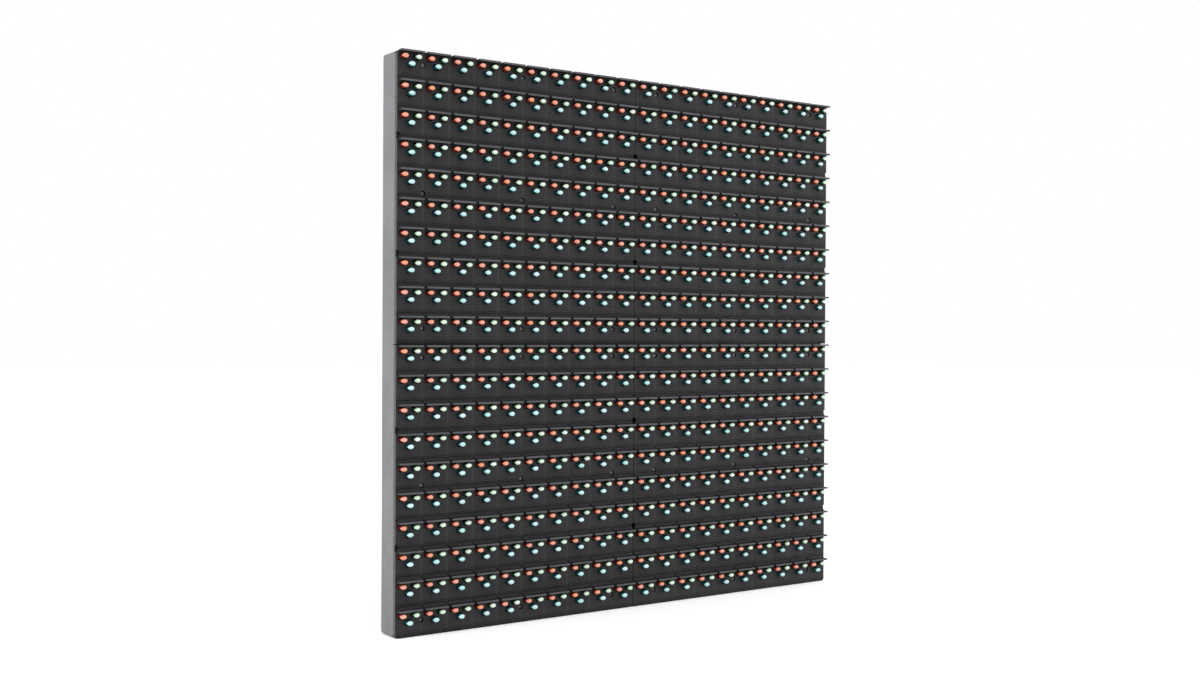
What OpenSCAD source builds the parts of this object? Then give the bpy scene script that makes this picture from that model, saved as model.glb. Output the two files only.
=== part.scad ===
// Outdoor LED display module with 20 by 20 pixels, serviced from the front.
// X runs to the right, Y runs from the face into the module, Z runs up.
// The bottom edge is at Z = 0, and Y = 0 is halfway between the visors and the rear tips of the latches.
// Inside the modules Y is counted from the face of the masks.

/* [Module] */
// Width and height of the module, mm
body_size = 319.5; // [280:0.5:360]
// Depth of the housing behind the face, mm
body_depth = 17; // [15.5:0.5:24]
// Radius of the four outer corners, mm
corner_r = 2; // [0.5:0.25:4]

/* [Masks] */
// Gap between two masks, mm
seam = 0.5; // [0.2:0.1:0.8]
// Thickness of a mask's face, mm
mask_t = 2; // [1.6:0.1:2.4]
// Depth of the skirt round the outer edge, from the face to the housing, mm
skirt_depth = 4; // [3.4:0.1:5]
// Thickness of the skirt, mm
skirt_t = 1.4; // [1:0.1:1.6]
// Gap round each lamp in its hole, mm
lamp_gap = 0.3; // [0.2:0.05:0.5]
// Radius of a key hole on a seam, mm
key_hole_r = 1.9; // [1.8:0.05:2.2]

/* [Visors] */
// How far a visor stands out of the face, mm
visor_reach = 4.3; // [3:0.1:8]
// Gap between two visors in a row, mm
visor_gap = 2; // [1:0.25:4]
// Thickness of a visor at its front edge, mm
visor_tip_t = 1; // [0.7:0.05:1.2]
// Radius of the fillet above a visor, mm
visor_fillet = 1.6; // [1:0.1:2]

/* [Lamps] */
// Width of a lamp, mm
lamp_w = 4; // [3.6:0.1:4.4]
// Height of a lamp, mm
lamp_h = 2.9; // [2.5:0.1:3.2]
// How far a lamp's tip stands out of the face, mm
lamp_reach = 4.2; // [3:0.1:6]
// Length of the rounded tip, mm
lamp_tip = 1.1; // [0.6:0.1:1.6]
// Distance of red and green from the middle of the pixel, mm
lamp_side = 4; // [3.6:0.1:4.3]
// Distance from the top of the pixel to red and green, mm
lamp_top = 3.5; // [3.4:0.1:4]
// Distance from red and green down to blue, mm
lamp_drop = 4; // [3.8:0.1:5]

/* [Board and housing] */
// Thickness of the circuit board, mm
board_t = 1.6; // [1.2:0.1:1.8]
// Thickness of the housing's wall, mm
wall_t = 2; // [1.8:0.1:2.4]
// Thickness of a rib, mm
rib_t = 2.4; // [1.6:0.1:3]
// Width of the rim on the rear, mm
rim_w = 8; // [7:0.5:9]
// Width of the rear gasket, mm
gasket_w = 3; // [2:0.25:3.5]
// How far the gasket stands out of the rear, mm
gasket_proud = 0.8; // [0.4:0.1:1.5]

/* [Latches] */
// Turn of the upper latch, degrees
upper_turn = 0; // [0:1:90]
// Turn of the lower latch, degrees
lower_turn = 0; // [0:1:90]
// Length of a latch arm from its axis, mm
arm_l = 22; // [16:0.5:30]
// Thickness of the frame bar that the arms close behind, mm
frame_bar = 2; // [1:0.1:3]
// Radius of a latch shaft, mm
shaft_r = 3; // [2.8:0.1:3.4]

/* [Hidden] */
$fn = 48;
eps = 0.01;
cells = 20;
half_cells = cells / 2;
pitch = (body_size + seam) / cells;
half = body_size / 2;
mid_z = body_size / 2;
mask_size = (body_size - seam) / 2;
grid_half = cells * pitch / 2;
visor_drop = grid_half - half + eps;
visor_w = pitch - visor_gap;

gel_front = mask_t;
board_front = skirt_depth;
board_back = board_front + board_t;
board_size = body_size - 2 * wall_t - 0.6;
gel_size = body_size - 2 * wall_t - 1;
gel_hole_r = 6.7;
gel_hole_drop = 5.3;
lamp_tip_r = 1.1;

screw_cols = [-9, -5, -1, 1, 5, 9];
screw_below = 7;
screw_above = 2.75;
screw_drops = [screw_below - seam / 2, 5 * pitch - screw_above - seam / 2, 9 * pitch + screw_below - seam / 2];
screw_zs = concat([for (d = screw_drops) mid_z + half - d], [for (d = screw_drops) mid_z - seam / 2 - d]);
screw_head_r = 1.3;
screw_head_h = 0.7;
screw_head_in = 0.35;
screw_r = 0.95;
screw_end = 14;
sink_r = 1.5;
sink_depth = screw_head_in + screw_head_h;
screw_pass_r = 1.1;

key_rise = 1.45;
key_drops = [3 * pitch - key_rise - seam / 2, 7 * pitch - key_rise - seam / 2];
upper_z = body_size - key_drops[0];
lower_z = mid_z - seam / 2 - key_drops[1];
key_pass_r = 2.2;

rib_xs = [-5 * pitch, 0, 5 * pitch];
rib_low = mid_z - seam / 2 - screw_drops[1];
rib_mid = (screw_zs[2] + screw_zs[3]) / 2;
rib_high = mid_z + half - screw_drops[1];
rib_zs = [rib_low, rib_mid, rib_high];
boss_r = 3.6;
web_t = 1.8;
rim_t = 2.6;

insert_xs = [-5 * pitch, 5 * pitch];
insert_zs = [mid_z - 7.5 * pitch, mid_z + 7.5 * pitch];
insert_r = 2.8;
insert_bore_r = 2;
insert_l = 8;
insert_boss_r = 5;

pin_spots = [[-7.5 * pitch, rib_high], [7.5 * pitch, rib_low]];
pin_r = 2.5;
pin_root_r = 2;
pin_in = 7.5;
pin_proud = 7;
pin_relief = 0.5;
pin_chamfer = 1;
pin_boss_r = 4.8;

groove_in = 2.6;
groove_depth = 1.4;

latch_boss_r = 7.5;
fit = 0.05;
collar_r = 4.4;
collar_t = 1.5;
collar_front = board_back + 0.4;
collar_room_r = collar_r + 0.4;
shoulder_y = collar_front + collar_t + 0.2;
arm_front = body_depth + frame_bar + 0.2;
arm_t = 3;
arm_hub_r = 6;
arm_end_r = 4.5;
nut_af = 7;
nut_t = 2.4;
shaft_end = arm_front + arm_t + nut_t;
mid_y = (shaft_end - visor_reach) / 2;
socket_af = 3;
socket_depth = 4;
tenon_af = 4.6;

chip_l = 8.6;
chip_w = 3.9;
chip_h = 1.5;
cell_xs = [-7.5 * pitch, -2.5 * pitch, 2.5 * pitch, 7.5 * pitch];
cell_zs = [rib_low / 2, (rib_low + rib_mid) / 2, (rib_mid + rib_high) / 2, (rib_high + body_size) / 2];
chip_dz = 13;
buffer_l = 12.8;
buffer_w = 7.5;
buffer_h = 2.3;
decoder_l = 9.9;
switch_l = 4.9;
resistor = [3.2, 0.6, 1.6];
ceramic = [2, 1.2, 1.25];
can_r = 4;
can_h = 6.4;
can_base = 8.3;
can_base_h = 1.2;

header_l = 27.9;
header_w = 8.9;
header_h = 9;
header_wall = 1.2;
header_floor = 2.6;
header_z = cell_zs[2];
header_x = 9 * pitch - 2;
header_pitch = 2.54;
header_rows = 8;
key_slot = 4.5;
pin_square = 0.64;
header_pin_h = 8.2;
power_x = 2.5 * pitch;
power_z = cell_zs[1];
power_pitch = 3.96;
power_l = 4 * power_pitch;
power_w = 8.6;
power_floor = 3.4;
power_back_t = 1.6;
power_h = 9.4;
power_pin = 1.14;
power_pin_h = 9;

// Moves a piece from the masks' face to the part's own origin.
module placed() {
  translate([0, -mid_y, 0])
    children();
}

// Extrudes an outline drawn in X and Z from y0 into the module.
module slab(y0, depth) {
  translate([0, y0 + depth, 0])
    rotate([90, 0, 0])
      linear_extrude(depth)
        children();
}

// An outline with two round ends.
module oval(w, h) {
  square([w - h, h], center = true);
  translate([(w - h) / 2, 0])
    circle(h / 2);
  translate([(h - w) / 2, 0])
    circle(h / 2);
}

// A square outline with rounded corners, centred on the module.
module rounded(size, r) {
  translate([0, mid_z]) {
    square([size, size - 2 * r], center = true);
    square([size - 2 * r, size], center = true);
    for (x = [-1, 1], z = [-1, 1])
      translate([x * (size / 2 - r), z * (size / 2 - r)])
        circle(r);
  }
}

// One quadrant's square with its outer corner rounded; sx and sz say which quadrant.
module quadrant_outline(sx, sz, inset, r) {
  intersection() {
    rounded(body_size - 2 * inset, r);
    translate([sx > 0 ? seam / 2 : -half - 1, sz > 0 ? mid_z + seam / 2 : -1])
      square([half - seam / 2 + 1, half - seam / 2 + 1]);
  }
}

function cell_x(i) = (i - (cells - 1) / 2) * pitch;
function row_z(j) = mid_z + grid_half - j * pitch;

// Profile of a visor from the side: flat below, with a fillet above its root.
module visor_profile(fillet) {
  translate([-visor_reach, -visor_drop - visor_tip_t])
    square([visor_reach + eps, visor_tip_t]);
  difference() {
    translate([-fillet, -visor_drop - eps])
      square([fillet + eps, fillet + eps]);
    translate([-fillet, -visor_drop + fillet])
      circle(fillet);
  }
}

module visor(fillet) {
  translate([-visor_w / 2, 0, 0])
    rotate([90, 0, 90])
      linear_extrude(visor_w)
        if (fillet > 0)
          visor_profile(fillet);
        else
          translate([-visor_reach, -visor_drop - visor_tip_t])
            square([visor_reach + eps, visor_tip_t]);
}

module mask(sx, sz) {
  i0 = sx > 0 ? half_cells : 0;
  j0 = sz > 0 ? 0 : half_cells;
  top = sz > 0 ? body_size : mid_z - seam / 2;
  inner_x = seam / 2;
  color([0.2, 0.2, 0.21]) {
    slab(sink_depth, mask_t - sink_depth)
      difference() {
        quadrant_outline(sx, sz, 0, corner_r);
        mask_cuts(i0, j0, top, sx);
        for (c = screw_cols, d = screw_drops)
          if (c * sx > 0)
            translate([c * pitch, top - d])
              circle(screw_pass_r);
      }
    slab(0, sink_depth)
      difference() {
        quadrant_outline(sx, sz, 0, corner_r);
        mask_cuts(i0, j0, top, sx);
        for (c = screw_cols, d = screw_drops)
          if (c * sx > 0)
            translate([c * pitch, top - d])
              circle(sink_r);
      }
    slab(mask_t, skirt_depth - mask_t)
      difference() {
        quadrant_outline(sx, sz, 0, corner_r);
        translate([sx > 0 ? -1 : skirt_t - half, sz > 0 ? 0 : skirt_t])
          square([half - skirt_t + 1, sz > 0 ? body_size - skirt_t : half]);
        for (d = key_drops)
          translate([sx * half, top - d])
            circle(key_hole_r);
      }
    for (i = [0:half_cells - 1], j = [0:half_cells - 1])
      translate([cell_x(i0 + i), 0, row_z(j0 + j)])
        visor(j == 0 ? 0 : visor_fillet);
  }
}

module mask_cuts(i0, j0, top, sx) {
  for (i = [0:half_cells - 1], j = [0:half_cells - 1])
    translate([cell_x(i0 + i), row_z(j0 + j) - lamp_top]) {
      for (s = [-1, 1])
        translate([s * lamp_side, 0])
          oval(lamp_w + 2 * lamp_gap, lamp_h + 2 * lamp_gap);
      translate([0, -lamp_drop])
        oval(lamp_w + 2 * lamp_gap, lamp_h + 2 * lamp_gap);
    }
  for (d = key_drops, x = [0, sx * half])
    translate([x, top - d])
      circle(key_hole_r);
}

// A row of lamps: round bodies with a tapered tip, flattened above and below.
module lamp_row(dx) {
  intersection() {
    for (i = [0:cells - 1])
      translate([cell_x(i) + dx, board_front, 0])
        rotate([90, 0, 0])
          rotate_extrude()
            polygon([[0, 0], [lamp_w / 2, 0], [lamp_w / 2, board_front + lamp_reach - lamp_tip],
              [lamp_tip_r, board_front + lamp_reach], [0, board_front + lamp_reach]]);
    translate([-half, -lamp_reach - 1, -lamp_h / 2])
      cube([body_size, board_front + lamp_reach + 2, lamp_h]);
  }
}

module lamps(dx, dz) {
  for (j = [0:cells - 1])
    translate([0, 0, row_z(j) - lamp_top - dz])
      lamp_row(dx);
}

module mask_top_left() {
  mask(-1, 1);
}

module mask_top_right() {
  mask(1, 1);
}

module mask_bottom_left() {
  mask(-1, -1);
}

module mask_bottom_right() {
  mask(1, -1);
}

module red_lamps() {
  color([0.88, 0.55, 0.48])
    lamps(-lamp_side, 0);
}

module green_lamps() {
  color([0.7, 0.86, 0.78])
    lamps(lamp_side, 0);
}

module blue_lamps() {
  color([0.64, 0.83, 0.86])
    lamps(0, lamp_drop);
}

// Black gel between the masks and the board, with one round clearance for each pixel's lamps.
module sealing_gel() {
  color([0.05, 0.05, 0.05])
    slab(gel_front, board_front - gel_front)
      difference() {
        translate([0, mid_z])
          square([gel_size, gel_size], center = true);
        for (i = [0:cells - 1], j = [0:cells - 1])
          translate([cell_x(i), row_z(j) - gel_hole_drop])
            circle(gel_hole_r);
        screw_holes(screw_pass_r);
        for (z = [upper_z, lower_z])
          translate([0, z])
            circle(key_pass_r);
      }
}

module screw_holes(r) {
  for (c = screw_cols, z = screw_zs)
    translate([c * pitch, z])
      circle(r);
}

module circuit_board() {
  color([0.1, 0.32, 0.2])
    slab(board_front, board_t)
      difference() {
        translate([0, mid_z])
          square([board_size, board_size], center = true);
        screw_holes(screw_pass_r);
        for (z = [upper_z, lower_z])
          translate([0, z])
            circle(key_pass_r);
      }
}

// Ribs, bosses and webs, seen from the front.
module rib_outline() {
  inner = body_size - 2 * wall_t + 2 * eps;
  for (x = rib_xs)
    translate([x, mid_z])
      square([rib_t, inner], center = true);
  for (z = rib_zs)
    translate([0, z])
      square([inner, rib_t], center = true);
  for (c = screw_cols, z = screw_zs)
    translate([c * pitch, z])
      circle(boss_r);
  for (z = screw_zs)
    translate([0, z])
      square([2 * pitch, web_t], center = true);
  for (z = screw_zs, s = [-1, 1])
    translate([s * (9 * pitch + half) / 2, z])
      square([half - 9 * pitch - 2 * eps, web_t], center = true);
  for (c = screw_cols) {
    translate([c * pitch, rib_mid])
      square([web_t, 2 * (screw_zs[2] - rib_mid)], center = true);
    translate([c * pitch, (screw_zs[0] + body_size) / 2])
      square([web_t, body_size - screw_zs[0] - 2 * eps], center = true);
    translate([c * pitch, screw_zs[5] / 2])
      square([web_t, screw_zs[5] - 2 * eps], center = true);
  }
  for (x = insert_xs, z = insert_zs)
    translate([x, z])
      circle(insert_boss_r);
  for (p = pin_spots)
    translate(p)
      circle(pin_boss_r);
  for (z = [upper_z, lower_z])
    translate([0, z])
      circle(latch_boss_r);
}

module ring(outer, inner, r) {
  difference() {
    rounded(outer, r);
    translate([0, mid_z])
      square([inner, inner], center = true);
  }
}

module housing() {
  groove_out = body_size - 2 * groove_in;
  groove_inner = groove_out - 2 * gasket_w;
  color([0.6, 0.6, 0.62])
    difference() {
      union() {
        slab(skirt_depth, body_depth - skirt_depth)
          ring(body_size, body_size - 2 * wall_t, corner_r);
        slab(body_depth - rim_t, rim_t)
          ring(body_size, body_size - 2 * rim_w, corner_r);
        slab(board_back, body_depth - board_back)
          rib_outline();
      }
      slab(body_depth - groove_depth, groove_depth + 1)
        difference() {
          translate([0, mid_z])
            square([groove_out, groove_out], center = true);
          translate([0, mid_z])
            square([groove_inner, groove_inner], center = true);
        }
      slab(board_back - 1, screw_end - board_back + 1)
        screw_holes(screw_r);
      slab(body_depth - insert_l, insert_l + 1)
        for (x = insert_xs, z = insert_zs)
          translate([x, z])
            circle(insert_r);
      slab(body_depth - pin_in, pin_in + 1)
        for (p = pin_spots)
          translate(p)
            circle(pin_root_r);
      slab(board_back - 1, body_depth - board_back + 2)
        for (z = [upper_z, lower_z])
          translate([0, z])
            circle(shaft_r + fit);
      slab(board_back - 1, shoulder_y - board_back + 1)
        for (z = [upper_z, lower_z])
          translate([0, z])
            circle(collar_room_r);
    }
}

module rear_gasket() {
  outer = body_size - 2 * groove_in;
  color([0.08, 0.08, 0.08])
    slab(body_depth - groove_depth, groove_depth + gasket_proud)
      difference() {
        translate([0, mid_z])
          square([outer, outer], center = true);
        translate([0, mid_z])
          square([outer - 2 * gasket_w, outer - 2 * gasket_w], center = true);
      }
}

module mask_screws() {
  color([0.3, 0.3, 0.3])
    for (c = screw_cols, z = screw_zs)
      translate([c * pitch, screw_end, z])
        rotate([90, 0, 0])
          rotate_extrude()
            polygon([[0, 0], [screw_r, 0], [screw_r, screw_end - sink_depth],
              [screw_head_r, screw_end - sink_depth], [screw_head_r, screw_end - screw_head_in],
              [0, screw_end - screw_head_in]]);
}

module threaded_inserts() {
  color([0.78, 0.62, 0.3])
    slab(body_depth - insert_l, insert_l)
      for (x = insert_xs, z = insert_zs)
        translate([x, z])
          difference() {
            circle(insert_r);
            circle(insert_bore_r);
          }
}

module guide_pins() {
  color([0.78, 0.62, 0.3])
    for (p = pin_spots)
      translate([p[0], body_depth - pin_in, p[1]])
        rotate([-90, 0, 0])
          rotate_extrude()
            polygon([[0, 0], [pin_root_r, 0], [pin_root_r, pin_in + pin_relief], [pin_r, pin_in + pin_relief],
              [pin_r, pin_in + pin_proud - pin_chamfer],
              [pin_r - pin_chamfer, pin_in + pin_proud], [0, pin_in + pin_proud]]);
}

// A flat block lying on the rear of the board.
module block(x, z, size) {
  translate([x - size[0] / 2, board_back, z - size[2] / 2])
    cube(size);
}

module driver_chips() {
  color([0.07, 0.07, 0.07])
    for (x = cell_xs, z = cell_zs)
      block(x, z + chip_dz, [chip_l, chip_h, chip_w]);
}

module buffer_chips() {
  color([0.07, 0.07, 0.07])
    for (s = [-1, 1], z = [-1, 1])
      block(s * 2.5 * pitch, cell_zs[2] + z * 12 - 9, [buffer_l, buffer_h, buffer_w]);
}

module decoder_chip() {
  color([0.07, 0.07, 0.07])
    block(-2.5 * pitch, cell_zs[1] - 8, [decoder_l, chip_h, chip_w]);
}

module scan_switches() {
  color([0.07, 0.07, 0.07])
    for (z = cell_zs, k = [-1, 0, 1])
      block(k * 10 + 7.5 * pitch, z - 24, [switch_l, chip_h, chip_w]);
}

module chip_resistors() {
  color([0.1, 0.1, 0.1])
    for (x = cell_xs, z = cell_zs, s = [-1, 1])
      block(x + s * 9.5, z + chip_dz + s * 1.5, resistor);
}

module ceramic_capacitors() {
  color([0.62, 0.5, 0.36])
    for (x = cell_xs, z = cell_zs)
      block(x, z + chip_dz + 6.5, ceramic);
}

module capacitor_bases() {
  color([0.1, 0.1, 0.1])
    for (x = [-2.5 * pitch, 2.5 * pitch], z = [cell_zs[0], cell_zs[3]], s = [-1, 1])
      block(x + s * 16, z - 14, [can_base, can_base_h, can_base]);
}

module capacitor_cans() {
  color([0.75, 0.75, 0.76])
    slab(board_back + can_base_h, can_h)
      for (x = [-2.5 * pitch, 2.5 * pitch], z = [cell_zs[0], cell_zs[3]], s = [-1, 1])
        translate([x + s * 16, z - 14])
          circle(can_r);
}

// A keyed shroud for a 16-way ribbon plug; side says where its key slot is.
module header(x, side) {
  difference() {
    block(x, header_z, [header_w, header_h, header_l]);
    translate([x - header_w / 2 + header_wall, board_back + header_floor,
        header_z - header_l / 2 + header_wall])
      cube([header_w - 2 * header_wall, header_h, header_l - 2 * header_wall]);
    translate([x + side * header_w / 2 - header_wall - eps, board_back + header_floor, header_z - key_slot / 2])
      cube([2 * header_wall + 2 * eps, header_h, key_slot]);
  }
}

module data_in_header() {
  color([0.08, 0.08, 0.08])
    header(header_x, -1);
}

module data_out_header() {
  color([0.08, 0.08, 0.08])
    header(-header_x, 1);
}

module header_pins() {
  h = header_pin_h - header_floor;
  color([0.8, 0.66, 0.32])
    for (x = [-header_x, header_x], k = [0:header_rows - 1], s = [-1, 1])
      translate([x + s * header_pitch / 2 - pin_square / 2, board_back + header_floor,
          header_z + (k - (header_rows - 1) / 2) * header_pitch - pin_square / 2])
        cube([pin_square, h, pin_square]);
}

module power_connector() {
  color([0.9, 0.9, 0.88]) {
    block(power_x, power_z, [power_l, power_floor, power_w]);
    translate([power_x - power_l / 2, board_back, power_z + power_w / 2 - power_back_t])
      cube([power_l, power_h, power_back_t]);
  }
}

module power_pins() {
  color([0.75, 0.75, 0.76])
    for (k = [0:3])
      translate([power_x + (k - 1.5) * power_pitch - power_pin / 2, board_back + power_floor,
          power_z - power_pin])
        cube([power_pin, power_pin_h - power_floor, power_pin]);
}

// A latch shaft on its own axis: collar, body, and a square tenon that carries the arm.
module shaft() {
  slab(collar_front, collar_t)
    difference() {
      circle(collar_r);
      circle(socket_af / sqrt(3), $fn = 6);
    }
  slab(collar_front + collar_t, socket_depth - collar_t)
    difference() {
      circle(shaft_r);
      circle(socket_af / sqrt(3), $fn = 6);
    }
  slab(collar_front + socket_depth, arm_front - collar_front - socket_depth)
    circle(shaft_r);
  slab(arm_front, arm_t)
    intersection() {
      circle(shaft_r);
      square([tenon_af, tenon_af], center = true);
    }
  slab(arm_front + arm_t, nut_t)
    circle(tenon_af / 2);
}

// A latch arm that points up.
module arm() {
  slab(arm_front, arm_t)
    difference() {
      union() {
        circle(arm_hub_r);
        translate([0, (arm_l - arm_end_r) / 2])
          square([2 * arm_end_r, arm_l - arm_end_r], center = true);
        translate([0, arm_l - arm_end_r])
          circle(arm_end_r);
      }
      intersection() {
        circle(shaft_r);
        square([tenon_af, tenon_af], center = true);
      }
    }
}

module nut() {
  slab(arm_front + arm_t, nut_t)
    difference() {
      circle(nut_af / sqrt(3), $fn = 6);
      circle(tenon_af / 2);
    }
}

module upper_place() {
  translate([0, 0, upper_z])
    rotate([0, upper_turn, 0])
      children();
}

module lower_place() {
  translate([0, 0, lower_z])
    rotate([0, 180 + lower_turn, 0])
      children();
}

module upper_shaft() {
  color([0.7, 0.7, 0.72])
    upper_place()
      shaft();
}

module upper_arm() {
  color([0.65, 0.65, 0.67])
    upper_place()
      arm();
}

module upper_nut() {
  color([0.72, 0.72, 0.74])
    upper_place()
      nut();
}

module lower_shaft() {
  color([0.7, 0.7, 0.72])
    lower_place()
      shaft();
}

module lower_arm() {
  color([0.65, 0.65, 0.67])
    lower_place()
      arm();
}

module lower_nut() {
  color([0.72, 0.72, 0.74])
    lower_place()
      nut();
}

placed() mask_top_left();
placed() mask_top_right();
placed() mask_bottom_left();
placed() mask_bottom_right();
placed() red_lamps();
placed() green_lamps();
placed() blue_lamps();
placed() sealing_gel();
placed() circuit_board();
placed() housing();
placed() rear_gasket();
placed() mask_screws();
placed() threaded_inserts();
placed() guide_pins();
placed() driver_chips();
placed() buffer_chips();
placed() decoder_chip();
placed() scan_switches();
placed() chip_resistors();
placed() ceramic_capacitors();
placed() capacitor_bases();
placed() capacitor_cans();
placed() data_in_header();
placed() data_out_header();
placed() header_pins();
placed() power_connector();
placed() power_pins();
placed() upper_shaft();
placed() upper_arm();
placed() upper_nut();
placed() lower_shaft();
placed() lower_arm();
placed() lower_nut();
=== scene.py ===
import math

import bpy
import numpy as np
from mathutils import Matrix, Vector


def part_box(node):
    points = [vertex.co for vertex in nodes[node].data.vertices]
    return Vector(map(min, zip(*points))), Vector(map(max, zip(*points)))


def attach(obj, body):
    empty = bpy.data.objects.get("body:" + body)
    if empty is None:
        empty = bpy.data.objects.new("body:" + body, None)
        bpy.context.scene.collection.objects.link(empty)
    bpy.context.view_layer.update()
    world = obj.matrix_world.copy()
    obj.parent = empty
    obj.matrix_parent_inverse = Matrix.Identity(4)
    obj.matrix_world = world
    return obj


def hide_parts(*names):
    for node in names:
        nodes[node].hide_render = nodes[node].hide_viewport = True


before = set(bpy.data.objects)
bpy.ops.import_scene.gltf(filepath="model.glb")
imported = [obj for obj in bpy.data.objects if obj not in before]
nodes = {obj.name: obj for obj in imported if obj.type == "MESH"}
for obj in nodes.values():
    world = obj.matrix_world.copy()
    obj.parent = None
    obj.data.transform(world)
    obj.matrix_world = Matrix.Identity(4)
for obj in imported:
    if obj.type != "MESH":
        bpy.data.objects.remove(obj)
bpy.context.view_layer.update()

# sizes shared by all the pieces, in metres: seam is half the gap between two masks
panel = {"pitch": 0.016, "cells": 20, "half": 0.15975, "midZ": 0.15975, "seam": 0.00025, "lampReach": 0.0042}
gridHalf = panel["pitch"] * panel["cells"] / 2
boardLow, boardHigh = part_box("circuit_board")
screwLow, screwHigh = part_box("mask_screws")
boardFront, boardBack, rearY = boardLow[1], boardHigh[1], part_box("housing")[1][1]
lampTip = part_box("red_lamps")[0][1]
faceY = lampTip + panel["lampReach"]
noTris = np.zeros((0, 3), int)
rng = np.random.default_rng(20)


# camera

cameraView = {"place": (-0.49021, -0.67881, 0.16796), "forward": (0.57081, 0.82104, -0.00799),
              "roll": 0.3045, "lens": 40.882, "sensor": 36, "near": 0.01}


# right = forward x up, then both turned by the roll
def makeCamera(view):
    data = bpy.data.cameras.new("viewCamera")
    data.lens, data.sensor_width, data.clip_start = view["lens"], view["sensor"], view["near"]
    camera = bpy.data.objects.new("viewCamera", data)
    bpy.context.scene.collection.objects.link(camera)
    ahead = Vector(view["forward"]).normalized()
    right = ahead.cross(Vector((0, 0, 1))).normalized()
    up = right.cross(ahead)
    roll = math.radians(view["roll"])
    side = right * math.cos(roll) + up * math.sin(roll)
    top = up * math.cos(roll) - right * math.sin(roll)
    turn = Matrix((side, top, -ahead)).transposed().to_4x4()
    camera.matrix_world = Matrix.Translation(view["place"]) @ turn
    bpy.context.scene.camera = camera


makeCamera(cameraView)
bpy.context.scene.view_settings.view_transform = "Standard"
print("camera ready")


# mesh helpers

# fills a mesh with points and with quads and triangles, each given as an index array
def fillMesh(mesh, points, quads, tris=noTris):
    corners = np.concatenate([quads.ravel(), tris.ravel()]).astype(np.int32)
    sides = np.concatenate([np.full(len(quads), 4), np.full(len(tris), 3)]).astype(np.int32)
    starts = np.concatenate([[0], np.cumsum(sides)[:-1]]).astype(np.int32)
    mesh.vertices.add(len(points))
    mesh.vertices.foreach_set("co", np.ascontiguousarray(points, np.float32).ravel())
    mesh.loops.add(len(corners))
    mesh.loops.foreach_set("vertex_index", corners)
    mesh.polygons.add(len(sides))
    mesh.polygons.foreach_set("loop_start", starts)
    mesh.polygons.foreach_set("loop_total", sides)
    mesh.update(calc_edges=True)
    mesh.validate()


# makes an object of the arrays on the module's body, and smooths faces that meet under the angle
def makePiece(name, points, quads, material, replaces=(), tris=noTris, smoothUnder=35, tone=None):
    mesh = bpy.data.meshes.new(name)
    fillMesh(mesh, points, quads, tris)
    if tone is not None:
        layer = mesh.attributes.new("tone", "FLOAT_COLOR", "POINT")
        layer.data.foreach_set("color", tone.astype(np.float32).ravel())
    piece = bpy.data.objects.new(name, mesh)
    bpy.context.scene.collection.objects.link(piece)
    mesh.materials.append(material)
    if smoothUnder:
        mesh.shade_smooth()
        mesh.set_sharp_from_angle(angle=math.radians(smoothUnder))
    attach(piece, "module")
    if replaces:
        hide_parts(*replaces)


# a list of points from arrays of x, y and z, each spread to the size of the largest
def pointList(x, y, z):
    return np.stack(np.broadcast_arrays(x, y, z), -1).reshape(-1, 3)


# angles all round a circle, moved on by a share of one step
def circle(segments, start=0):
    return (np.arange(segments) + start) * 2 * np.pi / segments


# quads of a grid of rings by segments, closed round the segments, and back to the first ring where closed
def ringQuads(rings, segments, closed=False):
    r, s = np.meshgrid(np.arange(rings if closed else rings - 1), np.arange(segments), indexing="ij")
    low, high = r * segments, (r + 1) % rings * segments
    after = (s + 1) % segments
    return np.stack([low + s, low + after, high + after, high + s], -1).reshape(-1, 4)


# fan of triangles that closes a ring with a middle point
def fanTris(first, segments, middle, flip=False):
    s = np.arange(segments)
    tris = np.stack([first + s, first + (s + 1) % segments, np.full(segments, middle)], -1)
    return tris[:, ::-1] if flip else tris


# copies one shape to every spot, with the indices moved on for each copy
def repeatShape(points, quads, tris, spots):
    count, size = len(spots), len(points)
    allPoints = (points[None] + spots[:, None]).reshape(-1, 3)
    step = (np.arange(count) * size)[:, None, None]
    return allPoints, (quads[None] + step).reshape(-1, 4), (tris[None] + step).reshape(-1, 3)


# a profile of (radius, height) pairs turned round the Y axis: x = r cos a, z = r sin a, y = height
# both ends are closed by a fan, and the faces point outwards
def turnedShape(profile, segments):
    profile = np.asarray(profile, float)
    angle = circle(segments)
    radius, height = profile[:, :1], profile[:, 1:]
    ring = pointList(radius * np.cos(angle), height, radius * np.sin(angle))
    points = np.concatenate([ring, [[0, profile[0, 1], 0], [0, profile[-1, 1], 0]]])
    first, last = len(points) - 2, len(points) - 1
    tris = np.concatenate([fanTris(0, segments, first, True),
                           fanTris((len(profile) - 1) * segments, segments, last)])
    return points, ringQuads(len(profile), segments)[:, ::-1], tris[:, ::-1]


# a block standing on the board's back: rings of a rectangle, each with its inset and height, closed at both ends
def blockShape(width, depth, rings):
    corners = np.array([[-1, -1], [1, -1], [1, 1], [-1, 1]]) * 0.5
    inset, height = np.asarray(rings, float).T
    size = np.stack([width - 2 * inset, depth - 2 * inset], -1)
    flat = corners[None] * size[:, None]
    points = pointList(flat[..., 0], height[:, None], flat[..., 1])
    last = (len(rings) - 1) * 4
    ends = np.array([[0, 1, 2, 3], [last + 3, last + 2, last + 1, last]])
    return points, np.concatenate([ringQuads(len(rings), 4)[:, ::-1], ends]), noTris


# faces of a slab: an outline of n points and its copy, joined by a wall and closed by fans from the first point
def slabFaces(n):
    i = np.arange(n - 1)
    wall = np.concatenate([np.stack([i, i + 1, i + 1 + n, i + n], -1), [[n - 1, 0, n, 2 * n - 1]]])
    front = np.stack([np.zeros(n - 2, int), i[1:] + 1, i[1:]], -1)
    back = np.stack([np.full(n - 2, n), i[1:] + n, i[1:] + 1 + n], -1)
    return wall, np.concatenate([front, back])


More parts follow.
